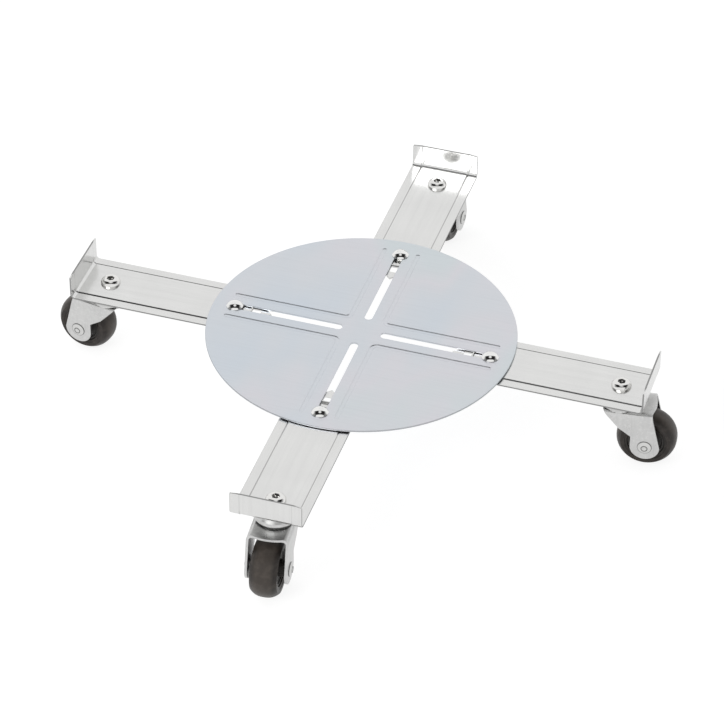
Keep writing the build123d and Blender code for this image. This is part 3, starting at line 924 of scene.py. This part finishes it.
for side, degrees in (("right", 0), ("back", 90), ("left", 180), ("front", 270)):
    arm_body = side + "_arm_slide"
    along = Matrix.Rotation(math.radians(degrees), 4, "Z")
    add_piece(f"{side}_arm_strip", arm_shape, along, arm_body, "arm_zinc", f"{side}_arm")
    for reach, meshes in ((BOLT_REACH, clamp_meshes), (CASTOR_REACH, swivel_meshes)):
        place = along @ Matrix.Translation((reach * MM, 0, 0))
        for part, (mesh, slot) in meshes.items():
            add_piece(f"{side}_{part}_piece", mesh, place, arm_body, slot, f"{side}_{part}")
    keep_node(f"{side}_race_balls", "ball_steel")
    soften_edges(keep_node(f"{side}_fork", "castor_zinc"), FORK_EDGE_ROUNDING * MM)
    spin = joints[f"{side}_wheel_spins"]
    across = Vector(spin["axis"])
    turned_over = Matrix((UP, across.cross(UP), across)).transposed().to_4x4()
    place = Matrix.Translation(spin["pos_m"]) @ turned_over
    add_piece(f"{side}_axle_rivet", axle_shape, place, side + "_castor_fork", "axle_steel", f"{side}_axle")
    for part, (mesh, slot) in wheel_meshes.items():
        add_piece(f"{side}_{part}_piece", mesh, place, side + "_castor_wheel", slot, f"{side}_{part}")


# The photograph's viewpoint
VIEW_AZIMUTH, VIEW_ELEVATION, VIEW_ROLL = (math.radians(a) for a in (17.04, 38.67, 0.70))
VIEW_RIGHT = Vector((math.cos(VIEW_AZIMUTH), math.sin(VIEW_AZIMUTH), 0))
VIEW_FRONT = Vector((math.sin(VIEW_AZIMUTH), -math.cos(VIEW_AZIMUTH), 0))
CAMERA_DISTANCE = 2.968
CAMERA_LENS = 164.4
CAMERA_SENSOR = 36.0
AIM_BELOW_PLATE_TOP = 0.0068
AIM_DOWN, AIM_RIGHT = 0.0225, 0.0006


def add_camera():
    """The photograph's viewpoint, for a square frame."""
    back = VIEW_FRONT * math.cos(VIEW_ELEVATION) + UP * math.sin(VIEW_ELEVATION)
    upward = back.cross(VIEW_RIGHT)
    right = VIEW_RIGHT * math.cos(VIEW_ROLL) + upward * math.sin(VIEW_ROLL)
    top = upward * math.cos(VIEW_ROLL) - VIEW_RIGHT * math.sin(VIEW_ROLL)
    aim = Vector((0, 0, PLATE_TOP * MM - AIM_BELOW_PLATE_TOP)) - top * AIM_DOWN + right * AIM_RIGHT
    camera = bpy.data.objects.new("camera", bpy.data.cameras.new("camera"))
    camera.data.lens, camera.data.sensor_width = CAMERA_LENS, CAMERA_SENSOR
    camera.data.clip_start, camera.data.clip_end = 0.1, 50.0
    turn = Matrix((right, top, back)).transposed().to_4x4()
    camera.matrix_world = Matrix.Translation(aim + back * CAMERA_DISTANCE) @ turn
    scene.collection.objects.link(camera)
    scene.camera = camera


def add_soft_light(name, place, size, power):
    """A round lamp aimed at the dolly, which metal does not mirror."""
    lamp = bpy.data.lights.new(name, "AREA")
    lamp.shape, lamp.size, lamp.energy = "DISK", size, power
    holder = bpy.data.objects.new(name, lamp)
    holder.location = place
    holder.rotation_euler = (-Vector(place)).to_track_quat("-Z", "Y").to_euler()
    holder.visible_glossy = False
    scene.collection.objects.link(holder)


def seen_directly(board):
    """One for what the camera sees itself, in a mirror or through glass, and nought for other light."""
    rays = [board.node("LightPath", output=name) for name in
            ("Is Camera Ray", "Is Glossy Ray", "Is Transmission Ray")]
    return board.node("Math", {"operation": "MINIMUM"}, {0: rays[0] + rays[1] + rays[2], 1: 1.0})


def add_surroundings():
    """A white studio. Gloss also mirrors a dark panel round a skylight, and corners a glow in front."""
    world = bpy.data.worlds.new("studio")
    world.use_nodes = True
    scene.world = world
    board = Board(world.node_tree)
    toward = board.node("TexCoord", output="Generated")

    def share_of(direction):
        return board.node("VectorMath", {"operation": "DOT_PRODUCT"}, {0: toward, 1: direction}, "Value")

    # A share is one straight along a direction and nought square to it
    across = share_of(VIEW_RIGHT)
    along = share_of(VIEW_FRONT) + across * across * 0.2

    def panel(start, end):
        soft_edge = 0.07
        return board.ease(along, start, start + soft_edge) * (1 - board.ease(along, end - soft_edge, end))

    height = share_of(UP)
    overhead = board.ease(height, 0.05, 0.20) * (1 - board.ease(height, 0.955, 0.992) * 0.9)
    outer = board.ease(abs(across), 0.64, 0.88)
    wings = panel(0.0, 0.40) * outer * board.ease(height, 0.30, 0.45) * 0.65
    dark = (panel(-0.30, 0.52) * (1 - outer) + wings) * overhead
    twice_mirrored = board.ease(board.node("LightPath", output="Glossy Depth"), 1.2, 1.8)
    glow_place = Vector((-0.23, -0.75, 0.62)).normalized()
    glow = board.ease(share_of(glow_place), 0.925, 0.985) * twice_mirrored
    camera_ray = board.node("LightPath", output="Is Camera Ray")
    mirrored = 1 + (glow * 3.0 - dark * 0.98) * (1 - camera_ray)
    soft_light = 0.55
    strength = soft_light + seen_directly(board) * (mirrored - soft_light)
    background = board.node("Background", None, {"Color": colour(1, 1, 1), "Strength": strength})
    board.node("OutputWorld", None, {"Surface": background})


def add_floor():
    """A pale floor that shows white and still holds the dolly's shadow."""
    steps, floor_radius = 64, 12.0
    mesh = bpy.data.meshes.new("studio_floor")
    mesh.from_pydata([(*p, 0) for p in ring_line(floor_radius, steps)], [], [tuple(range(steps))])
    material, board = new_board("studio_floor")
    seen = seen_directly(board)
    shaded = board.node("BsdfDiffuse", None, {"Color": colour(0.86, 0.86, 0.86)})
    lit = board.node("BsdfDiffuse", None, {"Color": colour(0.30, 0.30, 0.30)})
    camera_ray = board.node("LightPath", output="Is Camera Ray")
    bright = board.node("Emission", None, {"Color": colour(1, 1, 1), "Strength": 0.76 + camera_ray * 0.08})
    shown = board.node("AddShader", None, {0: lit, 1: bright})
    mixed = board.node("MixShader", None, {0: seen, 1: shaded, 2: shown})
    board.node("OutputMaterial", None, {"Surface": mixed})
    mesh.materials.append(material)
    floor = bpy.data.objects.new("studio_floor", mesh)
    scene.collection.objects.link(floor)


add_camera()
add_surroundings()
add_floor()
add_soft_light("front_light", (-1.6, -2.6, 1.6), size=1.8, power=36.0)
add_soft_light("side_light", (-2.4, 1.0, 2.0), size=1.6, power=14.0)
